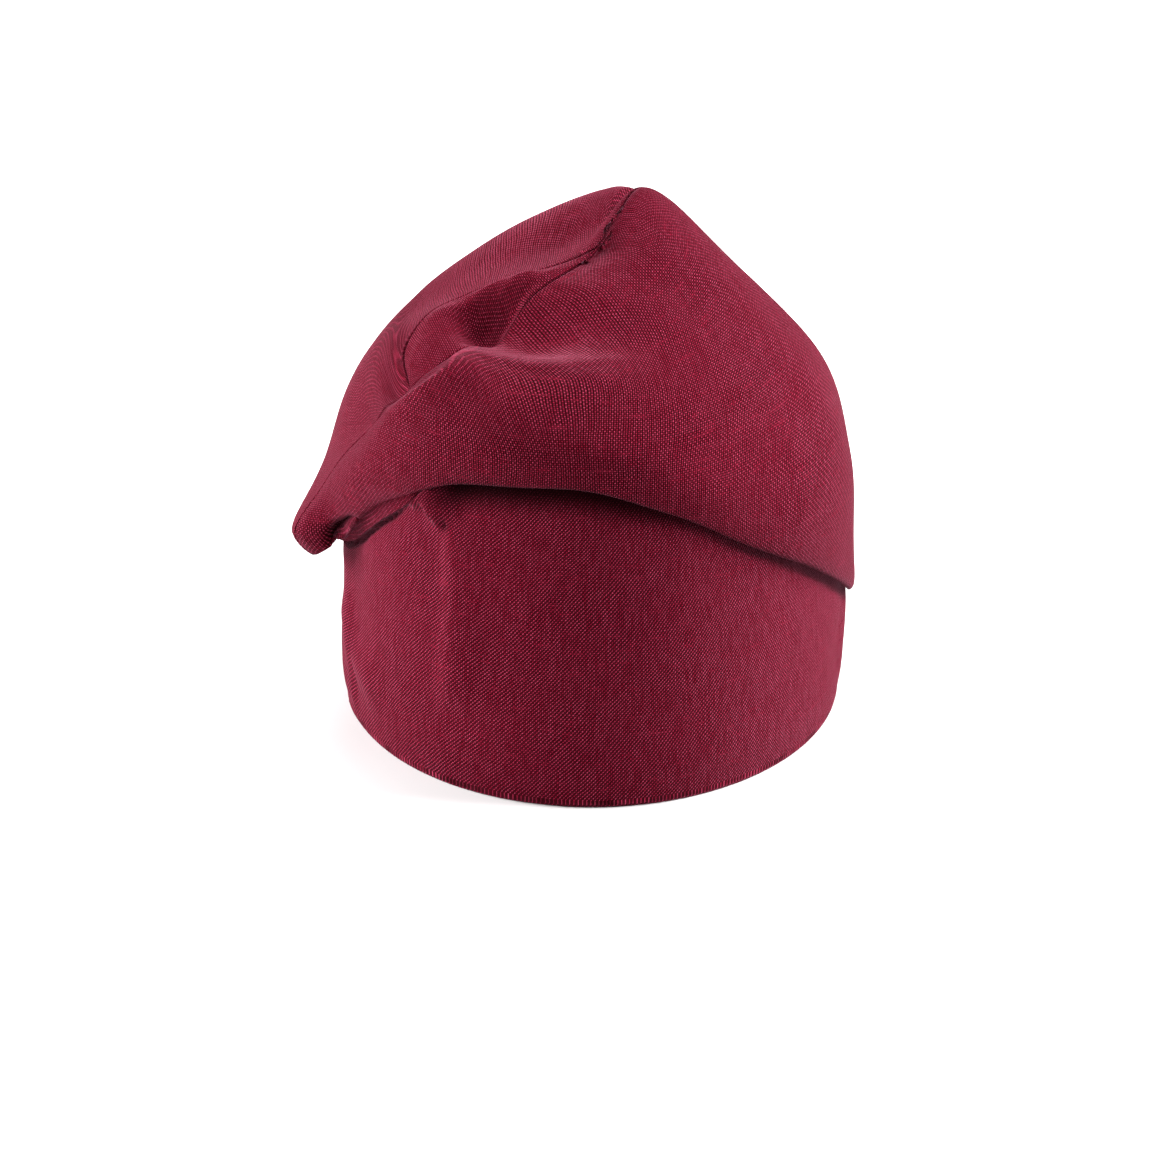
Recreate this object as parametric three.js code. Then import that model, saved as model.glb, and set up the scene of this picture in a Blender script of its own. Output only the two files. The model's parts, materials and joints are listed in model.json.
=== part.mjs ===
// An aso-oke cap, a soft hat of thick hand-woven cloth that is open at the bottom.
// Two wall panels stand up from the rim and meet at a side seam on the left and on the right. Their
// spare height is pressed over the band below as a fold with a hanging lip. A pointed oval crown
// panel is sewn between them on top. Everything is in millimetres, with +Z up, +X to the wearer's
// left hand seen from the front, and the front of the cap towards -Y.
import * as THREE from 'three';
import { mergeVertices } from 'three/addons/utils/BufferGeometryUtils.js';

// The head opening and the height of the cap as it stands.
const rimWidth = 168;
const rimDepth = 201;
const capHeight = 181;

// The cloth and its sewing.
const clothThickness = 1.0;
const hemHeight = 14;
const hemLayers = 2;
const seamGap = 0.4;

// The fold. An ease is the free room inside a bend, and the pouch is the open tip at the left.
const creaseEase = 0.5;
const lipEase = 0.4;
const pouchEase = 8;
const bandBulge = 2.6;

// How much of its bulge the band has at the hem and halfway up, and how far up it has all of it.
const bulgeAtHem = 0.3;
const bulgeHalfway = 0.8;
const fullBulgeUp = 0.9;

// How far from the crease to the lip an open fold passes each of its points.
const openShares = { crease: 0.04, valley: 0.2, lip: 0.7 };

const halfWidth = rimWidth / 2;
const halfDepth = rimDepth / 2;
const lipBend = clothThickness + lipEase;
const pouchBend = clothThickness + pouchEase;

// The fold at each station round the cap. The turn is in degrees from the front, out is the lip's
// distance from the middle as a share of the rim's, up and crease are the heights of the lip and of
// the crease above or behind it as shares of capHeight, roll is 0 at a pressed lip and 1 at the pouch.
const folds = [
  { turn: -81, out: 1.24, up: 0.322, crease: 0.342, roll: 1 },
  { turn: -70, out: 1.115, up: 0.41, crease: 0.382, roll: 0.35 },
  { turn: -57.5, out: 1.085, up: 0.502, crease: 0.46, roll: 0.1 },
  { turn: -45, out: 1.072, up: 0.572, crease: 0.55, roll: 0 },
  { turn: -32, out: 1.062, up: 0.628, crease: 0.672, roll: 0 },
  { turn: -17, out: 1.06, up: 0.651, crease: 0.7, roll: 0 },
  { turn: 0, out: 1.063, up: 0.653, crease: 0.705, roll: 0 },
  { turn: 18, out: 1.065, up: 0.594, crease: 0.652, roll: 0 },
  { turn: 36, out: 1.07, up: 0.497, crease: 0.563, roll: 0 },
  { turn: 54, out: 1.08, up: 0.398, crease: 0.468, roll: 0 },
  { turn: 71, out: 1.075, up: 0.293, crease: 0.37, roll: 0 },
  { turn: 88, out: 1.06, up: 0.202, crease: 0.285, roll: 0 },
  { turn: 104, out: 1.055, up: 0.168, crease: 0.26, roll: 0 },
  { turn: 128, out: 1.05, up: 0.153, crease: 0.255, roll: 0 },
  { turn: 153, out: 1.05, up: 0.158, crease: 0.262, roll: 0 },
  { turn: 178, out: 1.05, up: 0.189, crease: 0.29, roll: 0 },
  { turn: 203, out: 1.055, up: 0.224, crease: 0.31, roll: 0 },
  { turn: 230, out: 1.065, up: 0.27, crease: 0.33, roll: 0.1 },
  { turn: 256, out: 1.11, up: 0.3, crease: 0.34, roll: 0.45 },
];

// Where the wall passes each level above the lip, at the same stations, as shares across of
// halfWidth, deep of halfDepth (the front is negative) and up of capHeight.
const walls = [
  { belly: [-1.094, -0.304, 0.474], brow: [-0.988, -0.423, 0.577], shoulder: [-0.865, -0.524, 0.663],
    ridge: [-0.818, -0.552, 0.704], dip: [-0.785, -0.57, 0.73], seam: [-0.747, -0.58, 0.754] },
  { belly: [-1.039, -0.432, 0.515], brow: [-0.917, -0.534, 0.633], shoulder: [-0.829, -0.589, 0.699],
    ridge: [-0.785, -0.603, 0.732], dip: [-0.751, -0.603, 0.755], seam: [-0.713, -0.589, 0.773] },
  { belly: [-0.939, -0.598, 0.571], brow: [-0.84, -0.644, 0.684], shoulder: [-0.762, -0.662, 0.745],
    ridge: [-0.729, -0.653, 0.77], dip: [-0.696, -0.63, 0.791], seam: [-0.663, -0.593, 0.798] },
  { belly: [-0.762, -0.782, 0.648], brow: [-0.685, -0.764, 0.75], shoulder: [-0.641, -0.727, 0.801],
    ridge: [-0.619, -0.672, 0.827], dip: [-0.608, -0.626, 0.834], seam: [-0.597, -0.584, 0.824] },
  { belly: [-0.564, -0.911, 0.704], brow: [-0.541, -0.828, 0.786], shoulder: [-0.53, -0.736, 0.832],
    ridge: [-0.53, -0.644, 0.852], dip: [-0.519, -0.584, 0.847], seam: [-0.508, -0.534, 0.832] },
  { belly: [-0.309, -1.021, 0.724], brow: [-0.343, -0.92, 0.791], shoulder: [-0.354, -0.791, 0.832],
    ridge: [-0.376, -0.662, 0.852], dip: [-0.387, -0.561, 0.842], seam: [-0.398, -0.488, 0.819] },
  { belly: [0, -1.058, 0.73], brow: [0, -0.948, 0.791], shoulder: [-0.022, -0.828, 0.829],
    ridge: [-0.133, -0.727, 0.844], dip: [-0.221, -0.58, 0.826], seam: [-0.326, -0.423, 0.853] },
  { belly: [0.331, -1.021, 0.679], brow: [0.309, -0.902, 0.76], shoulder: [0.243, -0.736, 0.816],
    ridge: [0.11, -0.616, 0.844], dip: [-0.066, -0.488, 0.867], seam: [-0.249, -0.368, 0.898] },
  { belly: [0.63, -0.874, 0.592], brow: [0.586, -0.791, 0.694], shoulder: [0.486, -0.626, 0.786],
    ridge: [0.32, -0.478, 0.855], dip: [0.077, -0.377, 0.903], seam: [-0.177, -0.317, 0.918] },
  { belly: [0.884, -0.653, 0.5], brow: [0.84, -0.598, 0.617], shoulder: [0.707, -0.46, 0.73],
    ridge: [0.486, -0.304, 0.832], dip: [0.188, -0.258, 0.921], seam: [-0.11, -0.267, 0.935] },
  { belly: [1.033, -0.368, 0.408], brow: [1.017, -0.322, 0.546], shoulder: [0.895, -0.221, 0.684],
    ridge: [0.63, -0.092, 0.806], dip: [0.276, -0.12, 0.939], seam: [-0.055, -0.23, 0.94] },
  { belly: [1.055, -0.064, 0.327], brow: [1.039, -0.037, 0.5], shoulder: [0.95, 0.037, 0.643],
    ridge: [0.663, 0.092, 0.791], dip: [0.265, 0.018, 0.964], seam: [0, -0.198, 0.943] },
  { belly: [1.006, 0.313, 0.306], brow: [0.95, 0.35, 0.51], shoulder: [0.796, 0.423, 0.633],
    ridge: [0.497, 0.35, 0.811], dip: [0.192, 0.11, 0.997], seam: [0.05, -0.161, 0.947] },
  { belly: [0.729, 0.727, 0.337], brow: [0.663, 0.718, 0.551], shoulder: [0.497, 0.626, 0.704],
    ridge: [0.254, 0.368, 0.883], dip: [0.066, 0.11, 0.969], seam: [-0.077, -0.189, 0.926] },
  { belly: [0.309, 0.975, 0.367], brow: [0.254, 0.883, 0.592], shoulder: [0.11, 0.681, 0.74],
    ridge: [-0.033, 0.276, 0.929], dip: [-0.133, -0.028, 0.895], seam: [-0.21, -0.202, 0.907] },
  { belly: [-0.133, 1.012, 0.408], brow: [-0.177, 0.911, 0.612], shoulder: [-0.243, 0.662, 0.755],
    ridge: [-0.276, 0.239, 0.898], dip: [-0.32, -0.037, 0.885], seam: [-0.354, -0.221, 0.889] },
  { belly: [-0.575, 0.828, 0.459], brow: [-0.564, 0.681, 0.643], shoulder: [-0.552, 0.423, 0.74],
    ridge: [-0.552, 0.175, 0.827], dip: [-0.541, -0.064, 0.847], seam: [-0.508, -0.248, 0.866] },
  { belly: [-0.873, 0.552, 0.469], brow: [-0.84, 0.386, 0.617], shoulder: [-0.785, 0.202, 0.709],
    ridge: [-0.718, 0.101, 0.781], dip: [-0.707, -0.083, 0.798], seam: [-0.652, -0.294, 0.838] },
  { belly: [-1.05, 0.129, 0.474], brow: [-0.989, 0, 0.607], shoulder: [-0.906, -0.092, 0.694],
    ridge: [-0.84, -0.184, 0.75], dip: [-0.796, -0.276, 0.776], seam: [-0.747, -0.396, 0.788] },
];

// The soft ridge along the crown panel: how far along the panel, where it lies between the near
// edge (0) and the far edge (1), and how high it stands as a share of capHeight.
const crownRidge = [
  { along: 0, where: 0.8, rise: 0 },
  { along: 0.2, where: 0.72, rise: 0.022 },
  { along: 0.42, where: 0.5, rise: 0.042 },
  { along: 0.58, where: 0.45, rise: 0.018 },
  { along: 0.8, where: 0.5, rise: 0.004 },
  { along: 1, where: 0.5, rise: 0 },
];

// The right side seam is at this station, the left one at station 0.
const rightSeam = 12;
const panelColumns = 28;
const crownRows = 8;

const lerp = THREE.MathUtils.lerp;
const clothColour = 0x6e1428;
const clothRoughness = 0.92;
const clothMaterial = () => new THREE.MeshStandardMaterial({
  color: clothColour,
  roughness: clothRoughness,
  metalness: 0,
});

// A point on the wall: its turn from the front, how far beyond the rim line it stands and its height.
function wallPoint(turn, beyond, up) {
  const angle = THREE.MathUtils.degToRad(turn);
  const onRim = new THREE.Vector3(halfWidth * Math.sin(angle), -halfDepth * Math.cos(angle), 0);
  const scale = 1 + beyond / onRim.length();
  return onRim.multiplyScalar(scale).setZ(up);
}

function sharedPoint([across, deep, up]) {
  return new THREE.Vector3(across * halfWidth, deep * halfDepth, up * capHeight);
}

// The points that the wall passes at one station, from the rim up, through the fold, to the crown seam.
function stationPoints({ turn, out, up, crease, roll }, wall) {
  const rim = wallPoint(turn, 0, 0).length();
  const bend = lerp(lipBend, pouchBend, roll);
  const lip = (out - 1) * rim;
  const lipUp = up * capHeight;
  const creaseUp = crease * capHeight;
  const band = Math.min(lip - 2 * bend - 2 * creaseEase, bandBulge);
  const bandTop = Math.min(lipUp, creaseUp);
  // A pressed fold doubles back down behind the lip. An open one runs straight from crease to lip.
  const pressed = THREE.MathUtils.smoothstep(creaseUp - lipUp, 0, 2 * (bend + creaseEase));
  const underLip = (beyond, height, openShare) => wallPoint(
    turn,
    lerp(lerp(band, lip - bend, openShare), beyond, pressed),
    lerp(lerp(creaseUp, lipUp, openShare), height, pressed),
  );
  return [
    wallPoint(turn, 0, 0),
    wallPoint(turn, bulgeAtHem * band, hemHeight),
    wallPoint(turn, bulgeAtHem * band, hemHeight + clothThickness),
    wallPoint(turn, bulgeHalfway * band, (hemHeight + bandTop) / 2),
    wallPoint(turn, band, fullBulgeUp * bandTop),
    wallPoint(turn, band, creaseUp - creaseEase - clothThickness),
    underLip(band + creaseEase, creaseUp, openShares.crease),
    underLip(band + 2 * creaseEase, creaseUp - creaseEase, openShares.valley),
    underLip(lip - 2 * bend, lipUp + bend, openShares.lip),
    wallPoint(turn, lip - bend, lipUp),
    wallPoint(turn, lip, lipUp + bend),
    sharedPoint(wall.belly),
    sharedPoint(wall.brow),
    sharedPoint(wall.shoulder),
    sharedPoint(wall.ridge),
    sharedPoint(wall.dip),
    sharedPoint(wall.seam),
  ];
}

// How many steps the wall takes between one point and the next.
const wallSteps = [1, 1, 2, 2, 1, 2, 2, 2, 2, 2, 3, 3, 2, 2, 2, 2];
const hemRows = wallSteps[0] + 1;

const profiles = folds.map((fold, index) => stationPoints(fold, walls[index]));
const seamLevel = profiles[0].length - 1;
const backSpan = folds.length - rightSeam;

// Smooth rings through the same point of each station. The crown seam has a corner at each side
// seam, so its front and back are two open curves.
const rings = profiles[0].slice(0, seamLevel).map(
  (_, level) => new THREE.CatmullRomCurve3(profiles.map((profile) => profile[level]), true),
);
const crownSeam = [...profiles, profiles[0]].map((profile) => profile[seamLevel]);
const frontSeam = new THREE.CatmullRomCurve3(crownSeam.slice(0, rightSeam + 1));
const backSeam = new THREE.CatmullRomCurve3(crownSeam.slice(rightSeam));

function seamPoint(station) {
  if (station <= rightSeam) return frontSeam.getPoint(station / rightSeam);
  return backSeam.getPoint((station - rightSeam) / backSpan);
}

// One column of the wall, from the rim to the crown seam.
function wallColumn(station) {
  const passed = rings.map((ring) => ring.getPoint((station / folds.length) % 1));
  passed.push(seamPoint(station));
  const curve = new THREE.CatmullRomCurve3(passed);
  const column = [passed[0]];
  wallSteps.forEach((steps, span) => {
    for (let step = 1; step <= steps; step++) {
      column.push(curve.getPoint((span + step / steps) / wallSteps.length));
    }
  });
  return column;
}

// The wall's columns all the way round. The front takes the first half and the back the second.
const wall = [];
for (let column = 0; column < 2 * panelColumns; column++) {
  const share = column / panelColumns;
  wall.push(wallColumn(share < 1 ? share * rightSeam : rightSeam + (share - 1) * backSpan));
}

// The crown panel's columns run from its near edge to its far edge, over the soft ridge.
function ridgeAt(along) {
  const next = Math.max(1, crownRidge.findIndex((row) => row.along >= along));
  const before = crownRidge[next - 1];
  const after = crownRidge[next];
  const share = THREE.MathUtils.smoothstep(along, before.along, after.along);
  return { where: lerp(before.where, after.where, share), rise: lerp(before.rise, after.rise, share) };
}

const nearColumn = (column) => wall[column];
const farColumn = (column) => wall[(wall.length - column) % wall.length];

function crownColumn(column) {
  const near = nearColumn(column).at(-1);
  const far = farColumn(column).at(-1);
  const { where, rise } = ridgeAt(column / panelColumns);
  const points = [];
  for (let row = 0; row <= crownRows; row++) {
    const share = row / crownRows;
    const fromEdge = share < where ? share / where : (1 - share) / (1 - where);
    const lift = rise * capHeight * THREE.MathUtils.smoothstep(fromEdge, 0, 1);
    points.push(near.clone().lerp(far, share).add(new THREE.Vector3(0, 0, lift)));
  }
  return points;
}

const crown = [];
for (let column = 0; column <= panelColumns; column++) crown.push(crownColumn(column));

// A normal is square to the mean of the directions to the neighbours on either side.
function heading(before, here, after) {
  const mean = new THREE.Vector3();
  if (before) mean.add(here.clone().sub(before).normalize());
  if (after) mean.add(after.clone().sub(here).normalize());
  return mean;
}

function normalAt(column, before, after, row) {
  const across = heading(before?.[row], column[row], after?.[row]);
  const along = heading(column[row - 1], column[row], column[row + 1]);
  return across.cross(along).normalize();
}

const wallNormals = wall.map((column, index) => {
  const before = wall.at(index - 1);
  const after = wall[(index + 1) % wall.length];
  return column.map((_, row) => normalAt(column, before, after, row));
});
const crownNormals = crown.map(
  (column, index) => column.map((_, row) => normalAt(column, crown[index - 1], crown[index + 1], row)),
);

// The rim stands square on its edge, so that its bottom face is level.
for (const normals of wallNormals) normals[0].setZ(0).normalize();

// Two panels share their normals along a seam, so that their edges stay parallel.
function shareNormal(wallNormal, crownNormal) {
  const shared = wallNormal.clone().add(crownNormal).normalize();
  wallNormal.copy(shared);
  crownNormal.copy(shared);
}
for (let column = 0; column <= panelColumns; column++) {
  const tip = column === 0 || column === panelColumns;
  const near = wallNormals[column].at(-1);
  const far = wallNormals[(wall.length - column) % wall.length].at(-1);
  if (tip) crownNormals[column].forEach((normal) => normal.copy(near));
  else {
    shareNormal(near, crownNormals[column][0]);
    shareNormal(far, crownNormals[column].at(-1));
  }
}

// Half of the gap at a seam is taken off each panel's edge.
function pulledIn(point, inner, distance) {
  const step = inner.clone().sub(point);
  return point.clone().add(step.setLength(distance));
}

function trimmed(grid, trimBottom) {
  const half = seamGap / 2;
  const last = grid.length - 1;
  const cut = grid.map((line) => {
    const points = line.map((point) => point.clone());
    const top = line.length - 1;
    points[top] = pulledIn(line[top], line[top - 1], half);
    if (trimBottom) points[0] = pulledIn(line[0], line[1], half);
    return points;
  });
  cut[0] = cut[0].map((point, row) => pulledIn(point, cut[1][row], half));
  cut[last] = cut[last].map((point, row) => pulledIn(point, cut[last - 1][row], half));
  return cut;
}

// A closed sheet of cloth: its outer skin, its inner skin below it, and the edge between them.
function clothPanel(name, outer, normals, thicknessAt) {
  const inner = outer.map((line, column) => line.map(
    (point, row) => point.clone().addScaledVector(normals[column][row], -thicknessAt(row)),
  ));
  const corners = [];
  const quad = (a, b, c, d) => corners.push(a, b, c, a, c, d);
  const columns = outer.length - 1;
  const rows = outer[0].length - 1;
  for (let i = 0; i < columns; i++) {
    for (let j = 0; j < rows; j++) {
      quad(outer[i][j], outer[i + 1][j], outer[i + 1][j + 1], outer[i][j + 1]);
      quad(inner[i][j], inner[i][j + 1], inner[i + 1][j + 1], inner[i + 1][j]);
    }
    quad(outer[i][0], inner[i][0], inner[i + 1][0], outer[i + 1][0]);
    quad(outer[i][rows], outer[i + 1][rows], inner[i + 1][rows], inner[i][rows]);
  }
  for (let j = 0; j < rows; j++) {
    quad(outer[0][j], outer[0][j + 1], inner[0][j + 1], inner[0][j]);
    quad(outer[columns][j], inner[columns][j], inner[columns][j + 1], outer[columns][j + 1]);
  }
  const mesh = new THREE.Mesh(weldedGeometry(corners), clothMaterial());
  mesh.name = name;
  return mesh;
}

// Welds equal corners and drops the triangles that a panel's pointed end leaves without area.
function weldedGeometry(corners) {
  const loose = new THREE.BufferGeometry().setFromPoints(corners);
  const welded = mergeVertices(loose, 1e-3);
  const index = welded.index.array;
  const kept = [];
  for (let at = 0; at < index.length; at += 3) {
    const [a, b, c] = index.slice(at, at + 3);
    if (a !== b && b !== c && c !== a) kept.push(a, b, c);
  }
  welded.setIndex(kept);
  return welded;
}

const wallThickness = (row) => clothThickness * (row < hemRows ? hemLayers : 1);
const backPanelColumns = [...wall.slice(panelColumns), wall[0]];
const backPanelNormals = [...wallNormals.slice(panelColumns), wallNormals[0]];

// The crown panel's ends are single points. The slender right end stops a column short of the corner.
const crownColumns = crown.slice(0, panelColumns);
const crownOuter = trimmed(crownColumns, true);
const leftEnd = pulledIn(crown[0][0], crown[1][crownRows / 2], 2 * seamGap);
const rightEnd = crown[panelColumns - 1][crownRows / 2];
crownOuter[0] = crownOuter[0].map(() => leftEnd);
crownOuter[panelColumns - 1] = crownOuter.at(-1).map(() => rightEnd);
const rightEndNormal = crownNormals[panelColumns - 1][crownRows / 2];
const crownEndNormals = crownNormals.slice(0, panelColumns);
crownEndNormals[panelColumns - 1] = crownEndNormals.at(-1).map(() => rightEndNormal);

const cap = new THREE.Group();
cap.name = 'aso_oke_cap';
cap.add(
  clothPanel(
    'front_panel',
    trimmed(wall.slice(0, panelColumns + 1), false),
    wallNormals.slice(0, panelColumns + 1),
    wallThickness,
  ),
  clothPanel('back_panel', trimmed(backPanelColumns, false), backPanelNormals, wallThickness),
  clothPanel('crown_panel', crownOuter, crownEndNormals, () => clothThickness),
);

// The origin is under the middle of the whole cap, at the height of the rim's edge.
const bounds = new THREE.Box3().setFromObject(cap);
const middle = bounds.getCenter(new THREE.Vector3());
for (const panel of cap.children) panel.position.set(-middle.x, -middle.y, -bounds.min.z);

export default cap;
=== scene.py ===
# %% [markdown]
# # A cap of hand-woven cloth
# The cap is soft and hollow, sewn from a front wall, a back wall and a pointed crown piece. The
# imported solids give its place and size. Every piece here is cloth that replaces one of them, built
# finely enough to carry its folds, seams and weave.

# %% The frame
import json
import math
from collections import namedtuple
from functools import partial

import bmesh
import bpy
import numpy as np
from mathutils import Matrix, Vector
from mathutils.noise import noise as noise_at


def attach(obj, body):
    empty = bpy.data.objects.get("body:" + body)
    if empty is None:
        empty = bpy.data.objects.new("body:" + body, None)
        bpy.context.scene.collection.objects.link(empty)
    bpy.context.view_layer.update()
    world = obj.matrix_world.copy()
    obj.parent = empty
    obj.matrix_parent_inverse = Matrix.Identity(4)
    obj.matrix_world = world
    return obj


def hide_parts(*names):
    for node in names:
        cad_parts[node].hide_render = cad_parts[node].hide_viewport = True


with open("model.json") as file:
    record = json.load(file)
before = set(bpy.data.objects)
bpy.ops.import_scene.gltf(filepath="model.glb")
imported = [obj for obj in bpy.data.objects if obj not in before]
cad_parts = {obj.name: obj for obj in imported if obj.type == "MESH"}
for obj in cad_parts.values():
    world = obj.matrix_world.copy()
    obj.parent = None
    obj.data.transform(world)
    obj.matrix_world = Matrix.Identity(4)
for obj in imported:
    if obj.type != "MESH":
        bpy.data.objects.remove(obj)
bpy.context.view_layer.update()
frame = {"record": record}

mm = 0.001

# %% [markdown]
# ## Where the cap stands
# The rim is an oval. Its middle isn't the origin, because the folds reach further to the left and
# to the back. The resting mount lies on the hem at the front of the oval, so the middle of the
# oval is half the oval's depth behind it, less half the hem's thickness.

# %% The head opening and the cloth
rim_width = 168 * mm
rim_depth = 201 * mm
cap_height = 181 * mm
cloth_thickness = 1.0 * mm
hem_height = 14 * mm
hem_layers = 2

mount = frame["record"]["mounts"][0]
half_hem = hem_layers * cloth_thickness / 2
rim_middle = Vector(mount["pos_m"]) + Vector((0, rim_depth / 2 - half_hem, 0))
print("middle of the rim at", rim_middle[:])

# %% [markdown]
# ## The camera
# The photograph was taken from far off with a long lens, a little above the cap, looking straight
# at its front. A lens this long keeps the near rim and the far peak at nearly one scale, so the
# outline only matches when the camera stands just as far away.

# %% Camera
photo_width = 1167
pixels_per_mm = 2.931
camera_distance = 4.6
camera_elevation = math.radians(24.5)
aim_from_rim = Vector((-2.86, 1.66, 36.2)) * mm

camera_data = bpy.data.cameras.new("camera")
camera_data.sensor_width = 36
camera_data.lens = 36 * camera_distance / mm * pixels_per_mm / photo_width
camera = bpy.data.objects.new("camera", camera_data)
back_off = Vector((0, -math.cos(camera_elevation), math.sin(camera_elevation)))
camera.location = rim_middle + aim_from_rim + camera_distance * back_off
camera.rotation_euler = (math.pi / 2 - camera_elevation, 0, 0)
bpy.context.scene.collection.objects.link(camera)
bpy.context.scene.camera = camera
print("lens", round(camera_data.lens, 1), "mm")

# %% [markdown]
# ## The fold
# The wall stands up from the rim as a plain band. Above it the spare height is pressed over the
# band, so the cloth doubles back and hangs down in a lip. Nineteen stations round the cap say how
# far the lip stands out, how high it hangs and how high the hidden crease behind it is. At the left
# the fold isn't pressed: there it rolls into an open tip. Tables of shares keep the fold tied to
# the head opening and the height.

# %% The fold's table
Fold = namedtuple("Fold", "turn out up crease roll")
folds = [
    Fold(-81, 1.24, 0.338, 0.342, 1),
    Fold(-70, 1.115, 0.4, 0.378, 0.35),
    Fold(-57.5, 1.085, 0.502, 0.46, 0.1),
    Fold(-45, 1.072, 0.572, 0.55, 0),
    Fold(-32, 1.062, 0.628, 0.672, 0),
    Fold(-17, 1.06, 0.651, 0.7, 0),
    Fold(0, 1.063, 0.653, 0.705, 0),
    Fold(18, 1.065, 0.594, 0.652, 0),
    Fold(36, 1.07, 0.497, 0.563, 0),
    Fold(54, 1.08, 0.398, 0.468, 0),
    Fold(71, 1.075, 0.293, 0.37, 0),
    Fold(88, 1.06, 0.202, 0.285, 0),
    Fold(104, 1.055, 0.168, 0.26, 0),
    Fold(128, 1.05, 0.153, 0.255, 0),
    Fold(153, 1.05, 0.158, 0.262, 0),
    Fold(178, 1.05, 0.189, 0.29, 0),
    Fold(203, 1.055, 0.224, 0.31, 0),
    Fold(230, 1.065, 0.27, 0.33, 0.1),
    Fold(256, 1.11, 0.3, 0.34, 0.45),
]
right_seam = 12
print("stations", len(folds), "with the right seam at", right_seam)

# %% [markdown]
# ## The wall above the lip
# Above the lip the cloth leans in to the crown seam. It passes six levels, each given as shares
# across half the rim's width, half its depth and the height. The brow is where the front turns
# over towards the hollow beside the crown.

# %% The wall's table
Wall = namedtuple("Wall", "belly brow shoulder ridge dip seam")
walls = [
    Wall((-1.094, -0.304, 0.474), (-0.988, -0.423, 0.577), (-0.865, -0.524, 0.663),
         (-0.818, -0.552, 0.704), (-0.767, -0.57, 0.722), (-0.725, -0.58, 0.7455)),
    Wall((-1.039, -0.432, 0.515), (-0.917, -0.534, 0.633), (-0.829, -0.589, 0.699),
         (-0.785, -0.603, 0.724), (-0.735, -0.603, 0.745), (-0.693, -0.589, 0.762)),
    Wall((-0.939, -0.598, 0.571), (-0.84, -0.644, 0.684), (-0.762, -0.662, 0.745),
         (-0.715, -0.653, 0.762), (-0.68, -0.63, 0.779), (-0.643, -0.593, 0.7825)),
    Wall((-0.762, -0.782, 0.648), (-0.685, -0.764, 0.75), (-0.641, -0.727, 0.801),
         (-0.61, -0.672, 0.806), (-0.595, -0.626, 0.809), (-0.581, -0.584, 0.804)),
    Wall((-0.564, -0.911, 0.704), (-0.541, -0.828, 0.786), (-0.53, -0.736, 0.832),
         (-0.53, -0.644, 0.835), (-0.507, -0.584, 0.827), (-0.492, -0.534, 0.82)),
    Wall((-0.309, -1.021, 0.724), (-0.343, -0.92, 0.791), (-0.354, -0.791, 0.822),
         (-0.376, -0.662, 0.829), (-0.377, -0.561, 0.818), (-0.386, -0.488, 0.809)),
    Wall((0, -1.058, 0.73), (0, -0.948, 0.791), (-0.022, -0.828, 0.829),
         (-0.133, -0.727, 0.838), (-0.221, -0.58, 0.818), (-0.326, -0.423, 0.833)),
    Wall((0.331, -1.021, 0.679), (0.309, -0.902, 0.76), (0.243, -0.736, 0.816),
         (0.11, -0.616, 0.838), (-0.066, -0.488, 0.852), (-0.249, -0.368, 0.876)),
    Wall((0.63, -0.874, 0.592), (0.586, -0.791, 0.694), (0.486, -0.626, 0.786),
         (0.32, -0.478, 0.85), (0.077, -0.377, 0.888), (-0.177, -0.317, 0.894)),
    Wall((0.884, -0.653, 0.5), (0.84, -0.598, 0.617), (0.707, -0.46, 0.73),
         (0.486, -0.304, 0.832), (0.188, -0.258, 0.903), (-0.11, -0.267, 0.9025)),
    Wall((1.033, -0.368, 0.408), (1.017, -0.322, 0.546), (0.895, -0.221, 0.684),
         (0.63, -0.092, 0.806), (0.276, -0.12, 0.924), (-0.055, -0.23, 0.9095)),
    Wall((1.055, -0.064, 0.327), (1.039, -0.037, 0.5), (0.95, 0.037, 0.643),
         (0.663, 0.092, 0.791), (0.265, 0.018, 0.955), (0, -0.198, 0.919)),
    Wall((1.006, 0.313, 0.306), (0.95, 0.35, 0.51), (0.796, 0.423, 0.633),
         (0.497, 0.35, 0.811), (0.192, 0.11, 0.991), (0.05, -0.161, 0.941)),
    Wall((0.729, 0.727, 0.337), (0.663, 0.718, 0.551), (0.497, 0.626, 0.704),
         (0.14, 0.28, 0.949), (0.035, 0.02, 0.935), (-0.077, -0.189, 0.913)),
    Wall((0.309, 0.975, 0.367), (0.254, 0.883, 0.592), (0.11, 0.681, 0.74),
         (0.03, 0.276, 0.944), (-0.133, -0.028, 0.898), (-0.21, -0.202, 0.893)),
    Wall((-0.133, 1.012, 0.408), (-0.177, 0.911, 0.612), (-0.243, 0.662, 0.75),
         (-0.276, 0.239, 0.888), (-0.32, -0.037, 0.876), (-0.354, -0.221, 0.876)),
    Wall((-0.575, 0.828, 0.459), (-0.564, 0.681, 0.643), (-0.552, 0.423, 0.74),
         (-0.552, 0.175, 0.819), (-0.541, -0.064, 0.839), (-0.508, -0.248, 0.856)),
    Wall((-0.873, 0.552, 0.469), (-0.83, 0.386, 0.617), (-0.771, 0.202, 0.709),
         (-0.702, 0.101, 0.775), (-0.707, -0.083, 0.79), (-0.652, -0.294, 0.83)),
    Wall((-1.05, 0.129, 0.474), (-0.989, 0, 0.607), (-0.906, -0.092, 0.694),
         (-0.84, -0.184, 0.75), (-0.796, -0.276, 0.776), (-0.747, -0.396, 0.781)),
]
print("wall levels", Wall._fields)

# %% [markdown]
# ## How tightly the cloth bends
# Cloth this thick can't be folded round less than its own thickness, and an ease leaves a little
# air inside each bend. Below the fold the band keeps the slight bulge of a worn cap. The tip at
# the left isn't pressed, so its bend is several times as wide as the lip's.

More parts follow.
